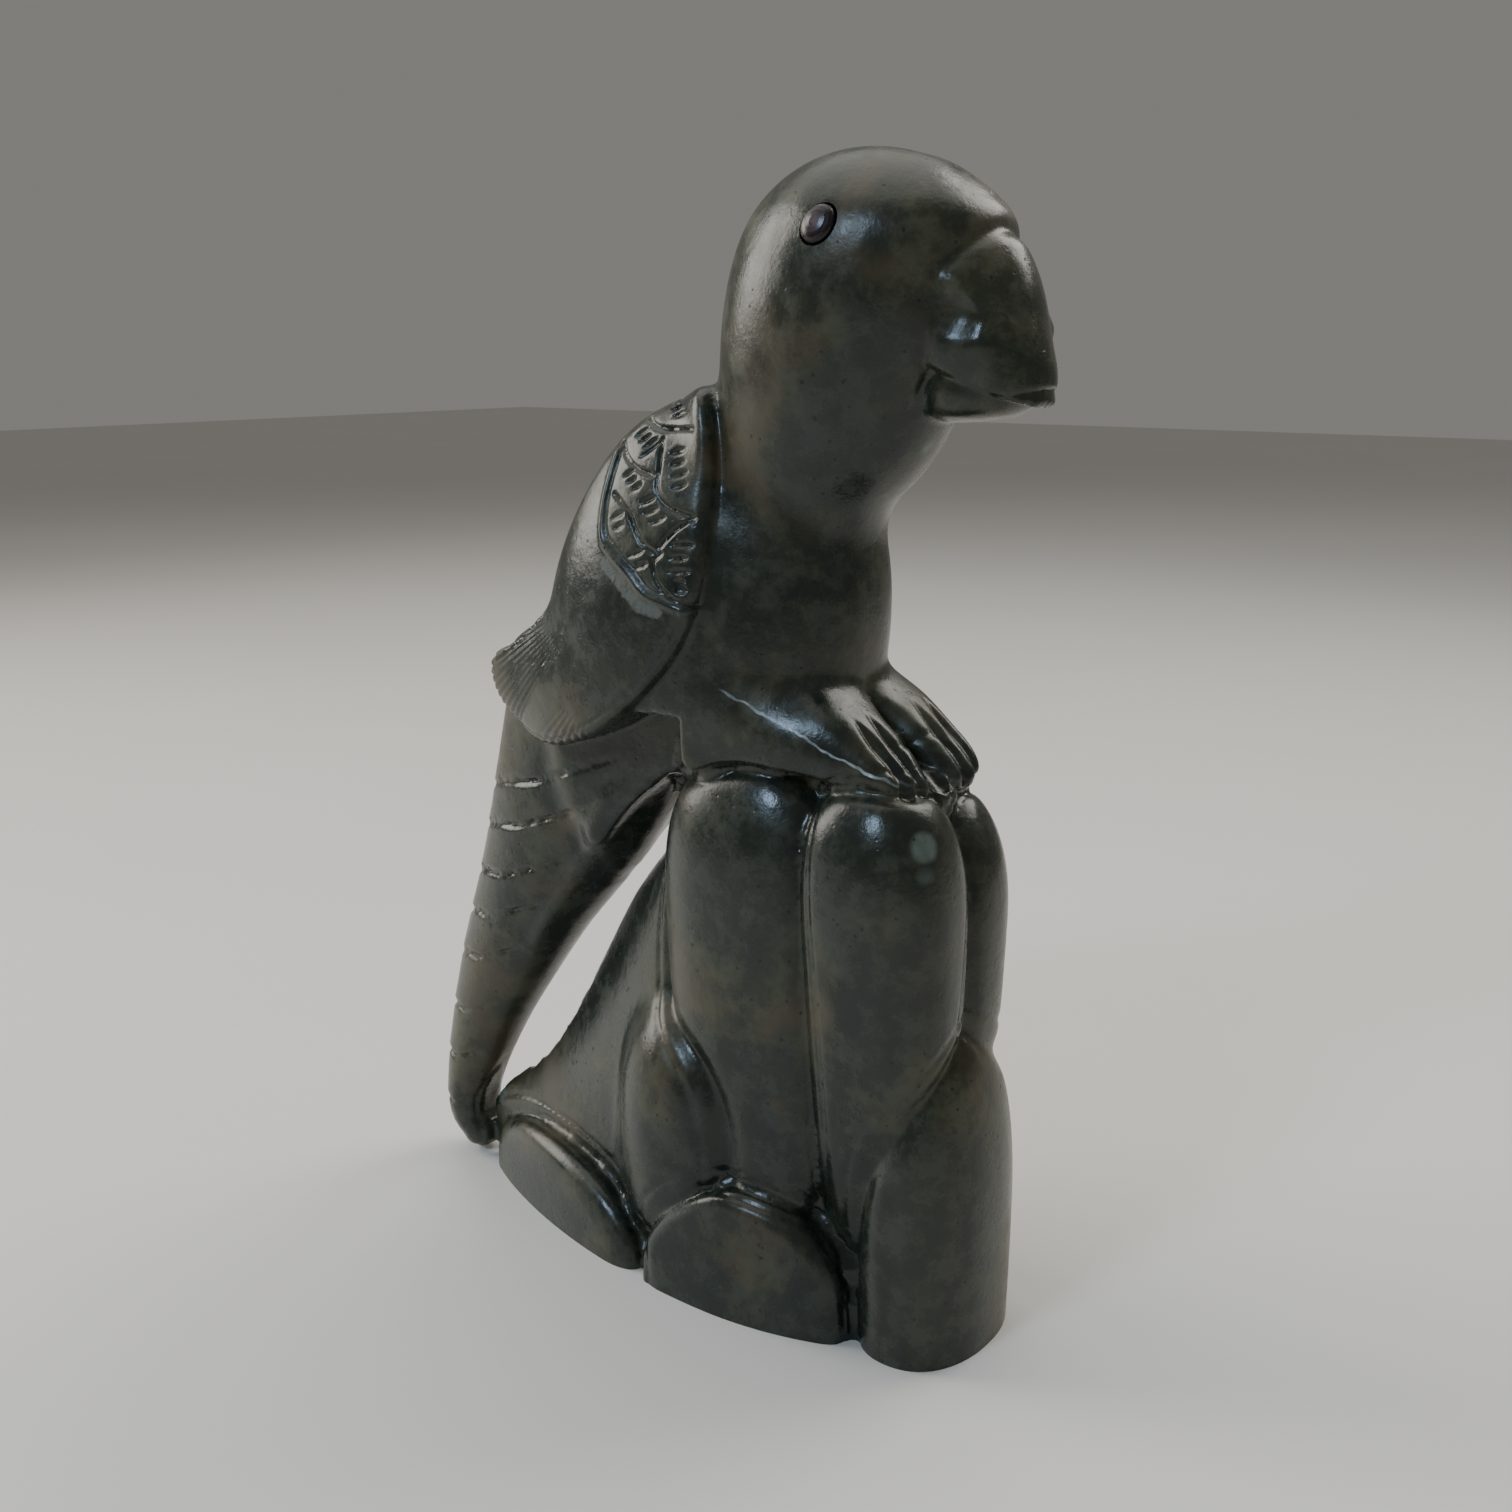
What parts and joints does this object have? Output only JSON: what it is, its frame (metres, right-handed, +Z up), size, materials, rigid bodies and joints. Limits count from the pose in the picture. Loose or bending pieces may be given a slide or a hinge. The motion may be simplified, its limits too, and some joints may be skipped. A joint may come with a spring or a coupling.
{
  "type": "stone parrot carving",
  "caption": "Polished dark green stone carving of a parrot perched on a cluster of boulders, with folded wings, a long tail that rejoins the base, and inlaid oval eyes.",
  "frame": {"origin": "on the table, in the middle of the carving's box", "axes": "the bird faces -Y, its left side is +X, +Z is up"},
  "size_m": [0.049, 0.1424, 0.208],
  "materials": {
    "stone": "polished very dark green stone with olive and pale spots",
    "eye": "polished dark garnet red stone"
  },
  "bodies": {
    "root": {"carving": "stone", "eye_right": "eye", "eye_left": "eye"}
  },
  "joints": []
}
